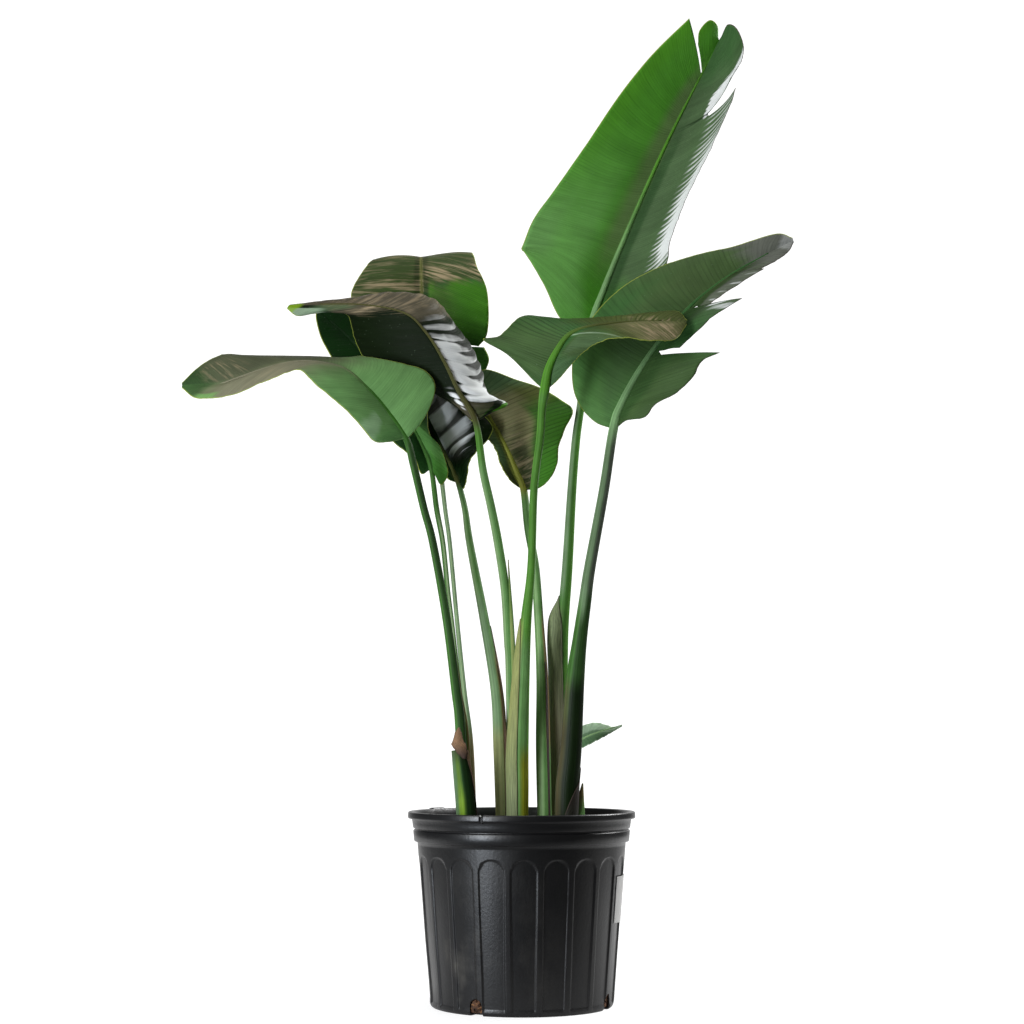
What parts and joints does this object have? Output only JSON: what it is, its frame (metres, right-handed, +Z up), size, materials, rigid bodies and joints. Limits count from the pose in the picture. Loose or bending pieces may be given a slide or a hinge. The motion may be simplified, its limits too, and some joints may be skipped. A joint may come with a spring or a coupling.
{
  "type": "potted bird of paradise plant",
  "caption": "Clump of tall paddle-leaved bird of paradise in a fluted round black nursery pot filled with bark mix, free-standing on the floor.",
  "frame": {"origin": "centre of the flat underside of the pot, on the floor", "axes": "+Z up along the pot's axis, -Y towards the viewer of the plant's front, +X to that viewer's right"},
  "size_m": [0.9642, 0.4546, 1.6061],
  "materials": {
    "pot_plastic": "satin",
    "label_paper": "satin",
    "bark_mix": "matte",
    "leaf_green": "satin",
    "stalk_green": "satin",
    "dry_leaf": "matte"
  },
  "bodies": {
    "root": {"pot": "pot_plastic", "pot_label": "label_paper", "soil": "bark_mix", "leaf_tall": "leaf_green", "leaf_right": "leaf_green", "leaf_front": "leaf_green", "leaf_middle": "leaf_green", "leaf_arched": "leaf_green", "leaf_back": "leaf_green", "leaf_low": "leaf_green", "leaf_far_left": "leaf_green", "leaf_inner": "leaf_green", "leaf_small": "leaf_green", "cut_stub": "stalk_green", "cut_stub_scrap": "dry_leaf", "spear": "stalk_green", "sprout": "stalk_green"}
  },
  "joints": []
}
